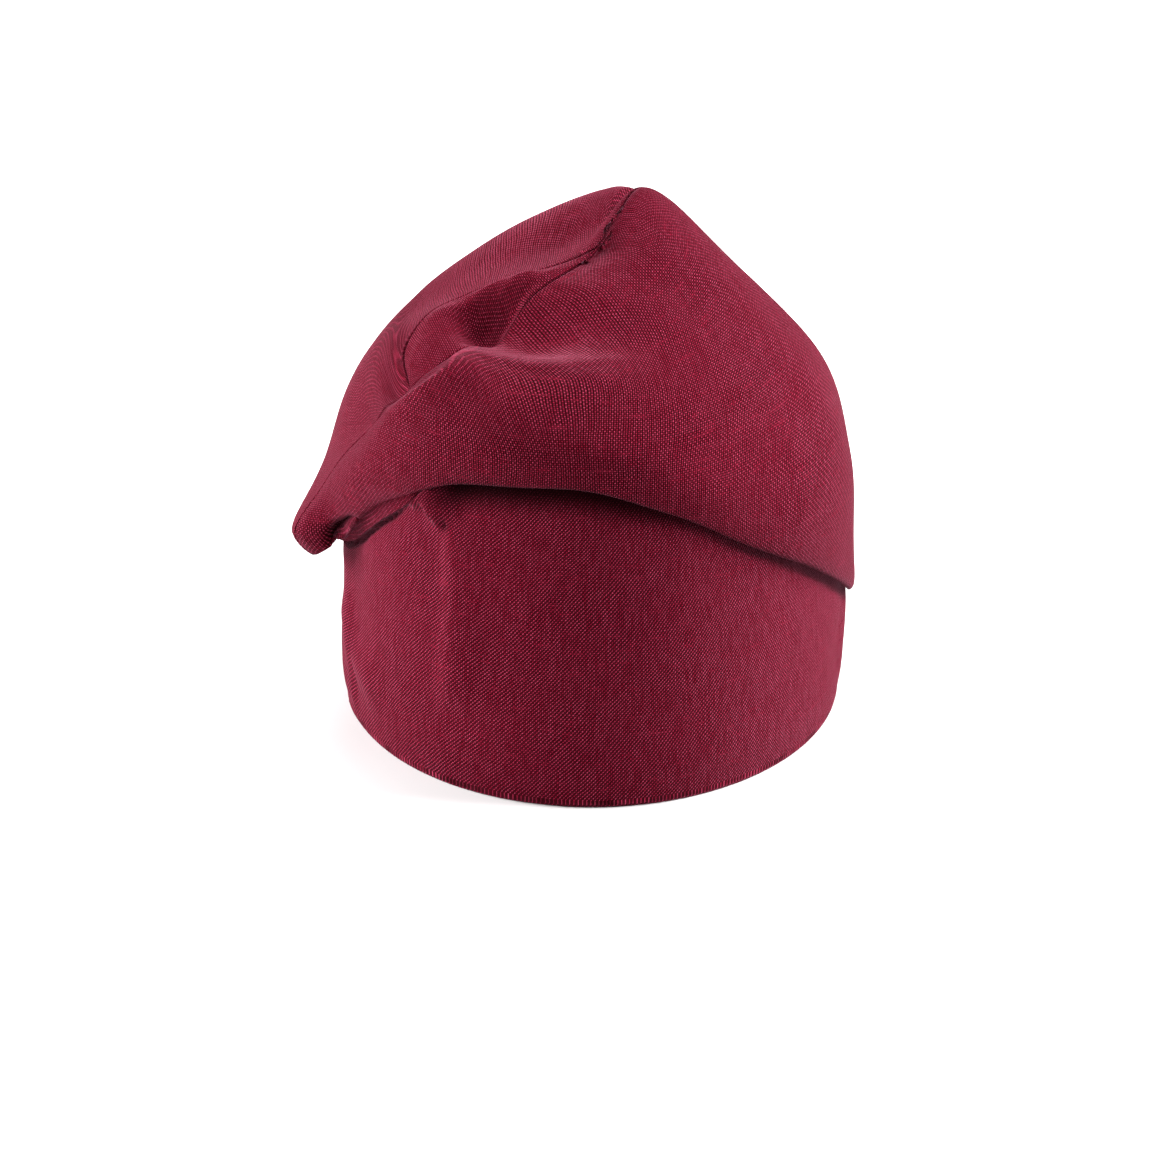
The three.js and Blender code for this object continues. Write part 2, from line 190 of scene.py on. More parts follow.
# %% Bends and eases
crease_ease = 0.5 * mm
lip_bend = cloth_thickness + 0.4 * mm
pouch_bend = cloth_thickness + 8 * mm
band_bulge = 2.6 * mm
bulge_at_hem = 0.5
bulge_halfway = 0.8
full_bulge_up = 0.9
print("bend at the lip", round(lip_bend / mm, 1), "mm, in the tip", round(pouch_bend / mm, 1), "mm")

# %% [markdown]
# ## Going from one value to another
# A straight mix and a smooth step are needed again and again from here on. Both take single
# numbers or whole arrays, so one line serves a station or a net of thousands of points.

# %% Mixing


def mix(a, b, share):
    return a + (b - a) * share


def smooth_share(value, low, high):
    share = np.clip((value - low) / (high - low), 0, 1)
    return share * share * (3 - 2 * share)


print("a quarter of the way along a smooth step", smooth_share(0.25, 0, 1))

# %% [markdown]
# ## From a station to a line of cloth
# At each station the cloth runs up the band, over the crease, down the hidden layer, round the lip
# and up the outside. A pressed fold doubles back behind its lip. An open one runs straight from
# the crease to the lip, which is what makes the tip at the left a hollow roll. One function gives
# both and mixes them, because the real fold opens little by little.

# %% The cloth at one station
open_crease, open_valley, open_lip = 0.04, 0.2, 0.8
lip_hollow = 2.5 * mm
tip_hollow = 8 * mm
finger_bend = 0.8
tip_turn = 6


def wall_point(turn, beyond, up):
    angle = math.radians(turn)
    on_rim = np.array((rim_width / 2 * math.sin(angle), -rim_depth / 2 * math.cos(angle), 0))
    reach = np.linalg.norm(on_rim)
    return on_rim * (1 + beyond / reach) + (0, 0, up)


def station_points(fold, wall):
    reach = np.linalg.norm(wall_point(fold.turn, 0, 0))
    bend = mix(lip_bend, pouch_bend, fold.roll)
    lip = (fold.out - 1) * reach
    lip_up = fold.up * cap_height
    crease_up = fold.crease * cap_height
    band = min(lip - 2 * bend - 2 * crease_ease, band_bulge)
    lip_bottom = lip - bend * mix(1, finger_bend, fold.roll)
    lip_turn = fold.turn + tip_turn * fold.roll
    band_top = min(lip_up, crease_up)
    pressed = smooth_share(crease_up - lip_up, 0, 2 * (bend + crease_ease))

    def under_lip(beyond, height, open_share, hollow=0):
        open_beyond = mix(band, lip - bend, open_share)
        open_height = mix(crease_up, lip_up, open_share) + hollow
        beyond = mix(open_beyond, beyond, pressed)
        return wall_point(fold.turn, beyond, mix(open_height, height, pressed))

    size = np.array((rim_width / 2, rim_depth / 2, cap_height))
    return [
        wall_point(fold.turn, 0, 0),
        wall_point(fold.turn, bulge_at_hem * band, hem_height),
        wall_point(fold.turn, bulge_at_hem * band, hem_height + cloth_thickness),
        wall_point(fold.turn, bulge_halfway * band, (hem_height + band_top) / 2),
        wall_point(fold.turn, band, full_bulge_up * band_top),
        wall_point(fold.turn, band, crease_up - crease_ease - cloth_thickness),
        under_lip(band + crease_ease, crease_up, open_crease),
        under_lip(band + 2 * crease_ease, crease_up - crease_ease, open_valley),
        under_lip(lip - 2 * bend, lip_up + bend, open_lip, mix(lip_hollow, tip_hollow, fold.roll)),
        wall_point(lip_turn, lip_bottom, lip_up),
        wall_point(lip_turn, lip, lip_up + bend),
        *(np.array(level) * size for level in wall),
    ]


profiles = np.array([station_points(fold, wall) for fold, wall in zip(folds, walls)])
profiles += rim_middle
print("stations, levels", profiles.shape[:2])

# %% [markdown]
# ## A smooth surface through the stations
# A centripetal Catmull-Rom curve passes through every point and doesn't overshoot where points lie
# close together, as they do round the lip. First a ring goes round the cap at each level, then a
# line goes up through the rings at each column. One function on whole arrays does both.

# %% Curves
tiny = 1e-9


def smooth_curve(knots, spots, closed=False):
    count = len(knots)
    spots = np.asarray(spots, float)
    start = np.floor(spots).astype(int)
    if closed:
        near = [knots[(start + step) % count] for step in (-1, 0, 1, 2)]
    else:
        start = np.minimum(start, count - 2)
        ends = [2 * knots[:1] - knots[1:2], knots, 2 * knots[-1:] - knots[-2:-1]]
        extended = np.concatenate(ends)
        near = [extended[start + step] for step in (0, 1, 2, 3)]
    before, here, after, beyond = near
    first, middle, last = (
        np.sqrt(np.maximum(np.linalg.norm(b - a, axis=-1, keepdims=True), tiny))
        for a, b in zip(near, near[1:])
    )
    leave = (here - before) / first - (after - before) / (first + middle) + (after - here) / middle
    arrive = (after - here) / middle - (beyond - here) / (middle + last) + (beyond - after) / last
    leave, arrive = leave * middle, arrive * middle
    share = (spots - start).reshape(-1, *[1] * (knots.ndim - 1))
    square, cube = share ** 2, share ** 3
    return (
        here + leave * share
        + (3 * (after - here) - 2 * leave - arrive) * square
        + (2 * (here - after) + leave + arrive) * cube
    )


hairpin = np.array(((0, 0), (1, 0), (1, 1), (0, 1)), float)
print("halfway round a hairpin", smooth_curve(hairpin, [1.5])[0].round(3))

# %% [markdown]
# ## The wall as a net
# Below the crown the rings are closed. At the crown seam the wall has two sharp corners, where the
# side seams run into the points of the crown piece. One ring would round these corners off and
# leave gaps beside them, so there the front edge and the back edge are two curves of their own.

# %% The wall's net
seam_level = profiles.shape[1] - 1
back_stations = len(folds) - right_seam
crown_seam = np.concatenate([profiles[:, seam_level], profiles[:1, seam_level]])


def wall_net(stations, levels):
    """The wall's points, one row for each level and one column for each station."""
    stations = np.where(np.asarray(stations) < 0, np.add(stations, len(folds)), stations)
    rings = smooth_curve(profiles[:, :seam_level], stations % len(folds), closed=True)
    front = smooth_curve(crown_seam[:right_seam + 1], np.clip(stations, 0, right_seam))
    back = smooth_curve(crown_seam[right_seam:], np.clip(stations - right_seam, 0, back_stations))
    seam = np.where((stations <= right_seam)[:, None], front, back)
    knots = np.concatenate([rings, seam[:, None]], axis=1).swapaxes(0, 1)
    return smooth_curve(knots, levels)


lip_level = 9
print("lip at the front", wall_net([6], [lip_level])[0, 0].round(4))

# %% [markdown]
# ## Even rows
# The mesh needs its rows closest together where the cloth bends sharply, round the crease and the
# lip. So rows are spread evenly not over the length of the cloth but over its length plus a few
# millimetres for each radian that it bends. Both walls share these rows, so their edges meet
# point for point at the side seams.

# %% Rows of the walls
wall_rows = 200
trial_columns = 57
bend_weight = 4 * mm


def from_edge(net, axis):
    """How far each point lies from the first edge along an axis, over the cloth."""
    steps = np.linalg.norm(np.diff(net, axis=axis), axis=-1)
    pad = [(0, 0), (0, 0)]
    pad[axis] = (1, 0)
    return np.pad(np.cumsum(steps, axis=axis), pad)


def even_levels(stations, count):
    """Levels from the rim to the crown seam, gathered where the cloth bends."""
    trial = np.linspace(0, seam_level, 40 * seam_level + 1)
    steps = np.diff(wall_net(stations, trial), axis=0)
    lengths = np.linalg.norm(steps, axis=-1)
    headings = steps / lengths[..., None]
    turns = np.arccos(np.clip((headings[1:] * headings[:-1]).sum(-1), -1, 1))
    weights = lengths.mean(1)
    weights[1:] += bend_weight * turns.mean(1)
    run = np.concatenate([[0], np.cumsum(weights)])
    return np.interp(np.linspace(0, run[-1], count), run, trial)


around = np.linspace(0, len(folds), trial_columns)
levels = even_levels(around, wall_rows)
print("rows", len(levels), "and the shortest step between them", np.diff(levels).min().round(4))

# %% [markdown]
# ## Closer rows and columns at the seams
# Near a seam the edge is turned in round a small radius, which takes a few rows or columns of its
# own. They lie at fixed distances from the edge, each step a little longer than the one before.

# %% Spacing at the seams
edge_steps = np.array((0.07, 0.22, 0.43, 0.72, 1.08, 1.56, 2.16)) * mm


def edge_packed(count, length):
    """Shares from 0 to 1 of a length of cloth, close together near both ends."""
    even = np.linspace(0, 1, count)
    near = edge_steps / length
    inner = even[(even > near[-1]) & (even < 1 - near[-1])]
    return np.concatenate([[0], near, inner, 1 - near[::-1], [1]])


def seam_packed(levels, net):
    """The levels with extra ones close below the crown seam."""
    last_span = levels >= seam_level - 1
    length = from_edge(net[last_span], 0)[-1].mean()
    near = seam_level - edge_steps[::-1] * (seam_level - levels[last_span][0]) / length
    return np.concatenate([levels[levels < near[0]], near, [seam_level]])


levels = seam_packed(levels, wall_net(around, levels))
print("rows with those close below the crown seam", len(levels))

# %% [markdown]
# ## Turning an edge in
# Two pieces are sewn with their faces together, so along every seam both roll inwards round a
# small radius and meet in a groove. Each point nearer to the edge than that radius sinks in along
# the normal by the sag of a quarter circle, and one more short step takes the edge out of sight.

# %% Seams
seam_round = 0.9 * mm
seam_gap = 0.25 * mm
tuck_depth = 0.45 * mm
smallest_area = 1e-12


def net_normals(net):
    across = np.gradient(net, axis=1)
    along = np.gradient(net, axis=0)
    normals = np.cross(across, along)
    return normals / np.maximum(np.linalg.norm(normals, axis=-1, keepdims=True), smallest_area)


def quarter_sag(distance):
    left = np.clip(seam_round - distance, 0, seam_round)
    return seam_round - np.sqrt(seam_round ** 2 - left ** 2)


def sewn_net(net, normals):
    """The net with its two sides and its top turned in, and a tucked row or column added at each."""
    sides = from_edge(net, 1), from_edge(net[:, ::-1], 1)[:, ::-1]
    top = from_edge(net[::-1], 0)[::-1]
    depth = [quarter_sag(np.maximum(d - seam_gap / 2, 0)) for d in (*sides, top)]
    near_top = smooth_share(top, 2 * seam_round, 6 * seam_round)
    near_side = smooth_share(np.minimum(*sides), 0, 3 * seam_round)
    sag = (depth[0] + depth[1]) * near_top + depth[2] * near_side
    sag = np.minimum(sag, seam_round)
    sunk = net - normals * sag[..., None]
    left = sunk[:, :1] - normals[:, :1] * tuck_depth
    right = sunk[:, -1:] - normals[:, -1:] * tuck_depth
    wide = np.concatenate([left, sunk, right], axis=1)
    top = np.concatenate([normals[-1:, :1], normals[-1:], normals[-1:, -1:]], axis=1)
    return np.concatenate([wide, wide[-1:] - top * tuck_depth])


print("an edge sinks by up to", round(float(quarter_sag(0)) / mm, 2), "mm")

# %% [markdown]
# ## The dark line in a seam
# Hardly any light reaches the bottom of the groove. The mesh has the groove, but its bottom is only
# a row or two wide, so the cloth gets a dark tone there as well. The tone fades out at a corner,
# where two grooves run together and would make a blot.

# %% Tone of the seams
seam_tone = 0.65
seam_shade_reach = 0.5 * mm
corner_reach = 2.5 * mm


def seam_shade(*distances):
    """The dark line in the groove of a seam, from the distances to the edges."""
    nearest, second = np.sort(np.broadcast_arrays(*distances), axis=0)[:2]
    corner = np.exp(-(second / corner_reach) ** 2)
    return seam_tone * np.exp(-(nearest / seam_shade_reach) ** 2) * (1 - corner)


print("darkest tone in a seam", seam_tone)

# %% [markdown]
# ## The hem
# At the rim the wall's own cloth is folded in and up, which gives the cap a round double edge and
# no raw threads. The net gets rows for it below the wall: down the inside of the hem, round the
# bottom in a half circle, and on to the outside.

# %% Hem
hem_ease = 0.15 * mm
hem_turn = cloth_thickness + hem_ease / 2
hem_rows = 12
hem_round_rows = 7
hem_net_rows = hem_rows + hem_round_rows


def hemmed(values, kept):
    """Values for the net, with the rim's value given to the rows of the hem."""
    return np.concatenate([np.repeat(values[:1], hem_net_rows, axis=0), values[kept]])


def hemmed_net(net, normals):
    flat = normals.copy()
    flat[..., 2] = 0
    flat /= np.maximum(np.linalg.norm(flat, axis=-1, keepdims=True), tiny)
    rim, out = net[0], flat[0]
    middle = rim - out * hem_turn + (0, 0, hem_turn)
    rows = []
    for up in np.linspace(hem_height, hem_turn, hem_rows, endpoint=False):
        level = np.argmin(np.abs(net[:, 0, 2] - up))
        rows.append(net[level] - flat[level] * 2 * hem_turn)
    for angle in np.linspace(-math.pi / 2, math.pi / 2, hem_round_rows):
        side = out * math.sin(angle) - np.array((0, 0, math.cos(angle)))
        rows.append(middle + side * hem_turn)
    kept = net[:, 0, 2] > 1.5 * hem_turn
    return np.concatenate([rows, net[kept]]), kept


print("rows in the hem", hem_net_rows)

# %% [markdown]
# ## Threads that keep their pitch
# Woven cloth hardly stretches along its threads, so the weave has to keep its real pitch wherever
# the cloth goes. A pattern in space would be cut by the folds. This one is laid over the surface
# in millimetres of cloth, along the weft from a middle column and along the warp from the rim.
# The widths of the rows are smoothed, or a dent in one row would bend the threads beside it.

# %% Cloth coordinates
width_reach = 12


def smoothed(values, reach):
    """A running mean over a row of numbers, with the ends held."""
    padded = np.pad(values, reach, mode="edge")
    return np.convolve(padded, np.ones(2 * reach + 1) / (2 * reach + 1), mode="valid")


def cloth_coordinates(net, middle_column):
    """Millimetres along the weft from the middle column, and along the warp from the rim."""
    along_weft = from_edge(net, 1)
    widths = along_weft[:, -1]
    shares = (along_weft / widths[:, None]).mean(0)
    along_weft = (shares - shares[middle_column]) * smoothed(widths, width_reach)[:, None]
    return np.stack([along_weft, from_edge(net, 0)], axis=-1) / mm


print("a step smoothed", smoothed(np.array((0.0, 0, 3, 3)), 1))

# %% [markdown]
# ## From a net to a piece of cloth
# A bmesh grid has one vertex for each point of the net, so moving each vertex to its point wraps
# the flat grid into the wall. The cloth coordinates become its UV map, and each mask a number on
# its vertices, which the material reads by name. A Solidify modifier then gives the cloth its
# thickness on the inner side, so the outer side stays where the net put it.

# %% A piece of cloth
pieces = {}


def cloth_piece(name, net, coordinates, masks, node):
    rows, columns = net.shape[0] - 1, net.shape[1] - 1
    bm = bmesh.new()
    uv = bm.loops.layers.uv.new("cloth")
    layers = [(bm.verts.layers.float.new(mask), masks[mask]) for mask in masks]
    bmesh.ops.create_grid(bm, x_segments=columns, y_segments=rows, size=0.5)
    places = {}
    for vertex in bm.verts:
        row = round((vertex.co.y + 0.5) * rows)
        column = round((vertex.co.x + 0.5) * columns)
        places[vertex] = row, column
        vertex.co = net[row, column]
        for layer, values in layers:
            vertex[layer] = values[row, column]
    for face in bm.faces:
        face.smooth = True
        for loop in face.loops:
            loop[uv].uv = coordinates[places[loop.vert]]
    mesh = bpy.data.meshes.new(name)
    bm.to_mesh(mesh)
    bm.free()
    piece = bpy.data.objects.new(name, mesh)
    bpy.context.scene.collection.objects.link(piece)
    wall = piece.modifiers.new("cloth thickness", "SOLIDIFY")
    wall.thickness = cloth_thickness
    wall.offset = -1
    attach(piece, "root")
    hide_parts(node)
    pieces[name] = piece
    area = sum(face.area for face in mesh.polygons)
    widest = from_edge(net, 1)[:, -1].max()
    longest = from_edge(net, 0)[-1].max()
    print(name, "faces", len(mesh.polygons), "area", round(area, 5),
          "widest", round(widest, 4), "longest", round(longest, 4))
    return piece


# %% [markdown]
# ## Creases, pleats and soft dents
# Cloth that is pressed by hand keeps lines that no table of stations would give. Each mark follows
# a short path over the wall, given as stations and levels, and lifts or sinks the cloth near it
# along the normal. The two sides of a path have their own reach, so one narrow and one wide side
# make the step of a pleat. A tone above 0 paints a highlight into the colour along the path, and
# one below 0 paints shade there. Below the tip the fold draws in to a mouth with painted shade,
# and the crease behind it has painted shade too.

# %% Marks at the tip
Mark = namedtuple("Mark", "name path height left_reach right_reach low high tone")
# both marks sink the cloth and paint shade into it
tip_marks = [
    Mark("crease behind the tip",
         [(-0.4, 5.5), (0, 5.5), (0.6, 5.3), (1.4, 5.6), (2.05, 5.6), (2.6, 5.5), (3.1, 5.7)],
         -2.2 * mm, 1.3 * mm, 1.3 * mm, 4.6, 6.6, -0.7),
    Mark("mouth of the tip",
         [(0.6, 8.8), (0.75, 9.3), (0.88, 9.7), (1.05, 9.95), (1.3, 9.85), (1.7, 9.7)],
         -4.5 * mm, 2.6 * mm, 2.6 * mm, 8, 10.5, -1),
]
print("marks at the tip", len(tip_marks))

# %% [markdown]
# ## The pleat on the band
# Beside the tip the spare width of the band is laid in one soft pleat. A single ridge would look
# like a swelling. The real pleat has a light edge with a dark groove close beside it, so narrow
# marks run along the wide one: one paints a highlight on the edge, the other sinks the groove and
# paints shade in it. An upright ridge carries the pleat on down to the hem.

# %% Marks of the pleat
pleat_marks = [
    Mark("pleat on the band",
         [(3.0, 5.7), (3.2, 5.3), (3.4, 4.7), (3.6, 4.15), (3.78, 3.85)],
         4.4 * mm, 11 * mm, 2.6 * mm, 3.2, 5.5, 0),
    # a slight lift with a painted highlight along the pleat's edge
    Mark("edge of the pleat",
         [(2.9, 5.8), (3.15, 5.3), (3.35, 4.7), (3.55, 4.15), (3.73, 3.85)],
         0.2 * mm, 2.6 * mm, 2.6 * mm, 3.2, 5.4, 0.25),
    # sinks the groove and paints shade in it
    Mark("groove beside the pleat",
         [(3.42, 4.7), (3.56, 4.4), (3.68, 4.15), (3.78, 3.95), (3.86, 3.75)],
         -1.6 * mm, 1.6 * mm, 1.8 * mm, 3.2, 5.4, -1),
    Mark("upright ridge on the band",
         [(3.98, 4.4), (3.98, 3.7), (3.98, 3), (3.88, 2.6), (3.8, 2.3)],
         2.2 * mm, 11 * mm, 5 * mm, 2, 5, 0),
]
print("marks of the pleat", len(pleat_marks))

# %% [markdown]
# ## The band beside the pleat
# At the left a low ridge sweeps down from the tip, with a painted highlight along its top, which
# begins below the tip and lightens the shadow that the tip casts there. Under the lip the band is
# pushed in all along, which leaves room for the shadow that sets the fold off.

# %% Marks on the band
band_marks = [
    Mark("low ridge at the left",
         [(0.1, 3.5), (0.5, 2.9), (0.95, 2.5), (1.45, 2.35), (2.3, 2.3)],
         1.8 * mm, 9 * mm, 7 * mm, 0.1, 4, 0),
    # painted highlight along the ridge, lightening the tip's shadow
    Mark("light along the low ridge",
         [(-0.6, 5.3), (-0.2, 4.6), (0.1, 3.8), (0.45, 3.1), (0.95, 2.55), (1.5, 2.35), (2.2, 2.3)],
         0.2 * mm, 3.8 * mm, 3.8 * mm, 0.1, 5.4, 1),
    Mark("room under the lip",
         [(3.3, 5.2), (4.2, 5), (5.2, 5), (6.4, 5), (8, 5)],
         -4 * mm, 9 * mm, 9 * mm, 2.8, 6.2, 0),
]
print("marks on the band", len(band_marks))

# %% [markdown]
# ## The brow and the peak
# The front of the flap turns over in a soft brow before it drops to the crown. Below the peak at
# the right, a faint groove with a little painted shade follows the side seam and then the edge of
# the crown.

# %% Marks on the flap
flap_marks = [
    Mark("brow",
         [(3.9, 14), (4.5, 14.05), (4.9, 13.95), (5.23, 13.8), (5.48, 13.7), (5.93, 13.75),
          (6.5, 13.7), (7.2, 13.45), (8, 13.35)],
         0.6 * mm, 5 * mm, 3 * mm, 12.4, 15.4, 0),
    # a shallow groove with a little painted shade
    Mark("groove below the peak",
         [(12, 12.8), (12, 13.6), (12, 14.4), (12, 15.2), (12, 15.8), (11.7, 15.9), (11.2, 15.9),
          (10.6, 15.9), (9.8, 15.9)],
         -0.3 * mm, 2.4 * mm, 2.4 * mm, 12, 17, -0.25),
]
print("marks on the flap", len(flap_marks))

# %% [markdown]
# ## Fullness at the sides
# Both sides of the band are a little fuller than the tables make them. Wide low marks add that
# last, without a new station for each.

# %% Marks at the sides
side_marks = [
    Mark("fullness at the left",
         [(-0.6, 2.3), (0.3, 2.3), (1, 2.3)], 1.4 * mm, 18 * mm, 18 * mm, 0.1, 4.6, 0),
    Mark("fullness at the right",
         [(10.4, 3.2), (11.3, 3.2), (12.4, 3.2)], 1.5 * mm, 22 * mm, 22 * mm, 0.1, 5, 0),
]
marks = tip_marks + pleat_marks + band_marks + flap_marks + side_marks
print("marks in all", len(marks))

# %% [markdown]
# ## Pressing a mark in
# Each point of the net looks for the nearest point of the path, which gives its distance and its
# side. The strength falls off smoothly with the distance and towards both ends of the path. A mark
# works only between its own levels, because the layers of a fold lie closer together than a mark
# is wide, and it would dent the hidden layer too.

# %% Pressing
path_samples = 10
end_fade = 0.25
level_fade = 0.5


def marked_net(net, normals, levels, mark):
    """The net moved by a mark, and the share of the mark's strength at each of its points."""
    knots = np.array([wall_net([station], [level])[0, 0] for station, level in mark.path])
    along = np.linspace(0, len(knots) - 1, path_samples * len(knots))
    path = smooth_curve(knots, along)
    heading = np.gradient(path, axis=0)
    heading /= np.linalg.norm(heading, axis=-1, keepdims=True)
    fade = smooth_share(np.minimum(along, along[-1] - along) / along[-1], 0, end_fade)

    rows = np.flatnonzero((levels > mark.low) & (levels < mark.high))
    near = net[rows]
    apart = near[:, :, None] - path
    distance = np.linalg.norm(apart, axis=-1)
    nearest = distance.argmin(-1)
    distance = distance.min(-1)
    offset = near - path[nearest]
    side = (np.cross(heading[nearest], normals[rows]) * offset).sum(-1)
    reach = np.where(side > 0, mark.right_reach, mark.left_reach)
    strength = np.exp(-(distance / reach) ** 2) * fade[nearest]
    window = smooth_share(levels[rows], mark.low, mark.low + level_fade)
    window = window * (1 - smooth_share(levels[rows], mark.high - level_fade, mark.high))
    share = np.zeros(net.shape[:2])
    share[rows] = strength * window[:, None]
    return net + normals * (mark.height * share)[..., None], share


print("looks along a path", path_samples, "times for each of its points")

# %% [markdown]
# ## Swells in the cloth
# Cloth never lies perfectly smooth. A slow noise in space lifts and sinks it by a fraction of a
# millimetre, which breaks up the light on the wide flap. It fades out towards the rim, which
# stands level.

# %% Swells
waves = 0.35 * mm
wave_length = 26 * mm


def soft_waves(net, levels):
    """Small swells all over the cloth, none at the rim, which stands level."""
    swell = np.array([[noise_at(Vector(p) / wave_length) for p in row] for row in net])
    return swell * waves * smooth_share(levels, 0.5, 3)[:, None]


print("swells of", waves / mm, "mm, about", wave_length / mm, "mm long")

# %% [markdown]
# ## Painted shade and wear
# Three masks tell the material about the cloth: whether it is flap or band, how much shade is
# painted under the lip, and where it is rubbed. The painted shade under the lip is deep in the
# middle, where the flap stands off the band, and slim at the right, where it lies close. The
# lip and the bottom edge are what hands and shelves rub.

# %% Masks of the walls
full_shade = 2.5 * mm
deep_shade = 14 * mm
slim_shade = 4.8 * mm
lip_wear = 0.2
edge_wear = 0.6


def wall_masks(net, levels, stations):
    """Where the cloth is flap, where shade is painted under the lip, and where it is worn."""
    everywhere = np.ones(net.shape[:2])
    lip_row = np.abs(levels - lip_level).argmin()
    below = net[lip_row, :, 2] - net[..., 2]
    reach = mix(deep_shade, slim_shade, smooth_share(stations, 6, 7.5))
    under = (1 - smooth_share(below, full_shade, reach)) * (1 - smooth_share(levels, 9, 10.6))
    pressed = smooth_share(stations, 3.2, 4.1) * mix(1, 0.8, smooth_share(stations, 6, 7.8))
    pressed = pressed * (1 - smooth_share(stations, 16.5, 18.5))
    wear_and_highlight = lip_wear * np.exp(-((levels - lip_level - 0.9) / 0.35) ** 2)
    wear_and_highlight = wear_and_highlight + edge_wear * (levels < 0.15)
    return {
        "flap": everywhere * smooth_share(levels, 5.3, 6.5),
        # painted shade under the pressed lip
        "painted_shade": under * pressed,
        "wear_and_highlight": everywhere * wear_and_highlight,
    }


print("shade under the lip from", slim_shade / mm, "to", deep_shade / mm, "mm deep")

# %% [markdown]
# ## Level threads on the flap
# The hidden layer behind the lip is longer at some stations than at others. Measured from the rim,
# the threads of the flap would rise and fall with it, but on the real cap they run level. So the
# flap's coordinates are shifted by the length that the fold hides. Its cloth is also drawn a
# little wider than the band's, which spreads the threads.

# %% Coordinates of the walls
flap_drawn = 0.8


def wall_coordinates(net, levels, flap):
    """Cloth coordinates that run level on the flap too, whatever length the fold hides."""
    coordinates = cloth_coordinates(net, net.shape[1] // 2)
    lip_row = np.abs(levels - lip_level).argmin()
    hidden = coordinates[lip_row, :, 1] - net[lip_row, :, 2] / mm
    coordinates[..., 1] += (hidden.mean() - hidden) * flap
    coordinates[..., 0] *= mix(1, flap_drawn, flap)
    return coordinates


print("width that the flap's threads take", flap_drawn, "of the band's")

# %% [markdown]
# ## The two walls
# The front wall spans from the left seam to the right one across the face of the cap, and the
# back wall goes round behind. Both come from the same net, so they meet exactly at the seams. The
# marks come first, because they move the cloth. The swells follow, then the turned edges, and the
# hem is last, because it hangs on the finished rim.

# %% Front and back walls
wall_columns = 190


def with_tucks(values):
    """Values for the net, repeated for the tucked column at each side and the tucked row on top."""
    return np.pad(values, [(0, 1), (1, 1)], mode="edge")


def wall_piece(name, node, first_station, last_station):
    middle = wall_net(np.linspace(first_station, last_station, wall_columns), [4.0])
    shares = edge_packed(wall_columns, from_edge(middle, 1)[0, -1])
    stations = mix(first_station, last_station, shares)
    net = wall_net(stations, levels)
    masks = wall_masks(net, levels[:, None], stations)
    coordinates = wall_coordinates(net, levels, masks["flap"])
    for mark in marks:
        net, share = marked_net(net, net_normals(net), levels, mark)
        # a tone above 0 paints a highlight into the wear mask, one below 0 paints shade
        masks["wear_and_highlight"] += share * max(mark.tone, 0)
        masks["painted_shade"] += share * max(-mark.tone, 0)
    # the groove of each seam gets painted shade as well
    masks["painted_shade"] += seam_shade(from_edge(net, 1), from_edge(net[:, ::-1], 1)[:, ::-1],
                                     from_edge(net[::-1], 0)[::-1])
    normals = net_normals(net)
    net = net + normals * soft_waves(net, levels)[..., None]
    net = sewn_net(net, net_normals(net))
    masks = {mask: with_tucks(values) for mask, values in masks.items()}
    coordinates = np.stack([with_tucks(coordinates[..., axis]) for axis in (0, 1)], axis=-1)
    net, kept = hemmed_net(net, net_normals(net))
    masks = {mask: hemmed(values, kept) for mask, values in masks.items()}
    coordinates = hemmed(coordinates, kept)
    coordinates[:hem_net_rows, :, 1] = (from_edge(net, 0)[:hem_net_rows] - hem_height) / mm
    return cloth_piece(name, net, coordinates, masks, node)


front = wall_piece("front_cloth", "front_panel", 0, right_seam)
back = wall_piece("back_cloth", "back_panel", right_seam, len(folds))

# %% [markdown]
# ## The crown
# The crown piece is a pointed oval. Each of its lines runs from the near seam to the far seam. At
# the left it lies nearly flat. Beyond that it breaks down into a pocket behind the brow, and a
# soft crest runs from the far seam over to the near one above the pocket. A table of lifts at even
# places along and across the piece describes this, smoothed by the same curves as the walls.

# %% Crown
Lift = namedtuple("Lift", "near low high far")
crown_lifts = [
    Lift(0, 0, 0, 0),
    Lift(0.3, 0.8, 1, 0.6),
    Lift(1, 2, 2.2, 1.2),
    Lift(0.2, 0.5, 1.5, 2),
    Lift(-5, -5.5, -2.5, 1.5),
    Lift(-4, -2, 2, 3.5),
    Lift(0.5, 3, 4.5, 3),
    Lift(1.2, 2, 2, 1),
    Lift(0.8, 1, 1, 0.5),
    Lift(0.3, 0.4, 0.4, 0.2),
    Lift(0, 0, 0, 0),
]
print("rows of lifts along the crown", len(crown_lifts))

# %% [markdown]
# ## The crown between its seams
# Each line is drawn straight from the near seam to the far one and then lifted. At both points of
# the oval the seams run together. There the piece stops a little short and its tips sink in, as
# the sewn corners of the real piece do.

# %% The crown's net
crown_columns = 150
crown_rows = 60
crown_width = 30 * mm
left_tip = 0.012
right_tip = 0.01
tip_sink = 0.5 * mm


def crown_net(shares, rows):
    """The crown's points, one row for each share across and one column for each share along."""
    near = smooth_curve(crown_seam[:right_seam + 1], shares * right_seam)
    far = smooth_curve(crown_seam[right_seam:], (1 - shares) * back_stations)
    lifts = np.pad(np.array(crown_lifts), [(0, 0), (1, 1)])[..., None] * mm
    lifts = smooth_curve(lifts, shares * (len(crown_lifts) - 1))
    lifts = smooth_curve(lifts.swapaxes(0, 1), rows * (lifts.shape[1] - 1))
    return mix(near, far, rows[:, None, None]) + lifts * np.array((0, 0, 1))


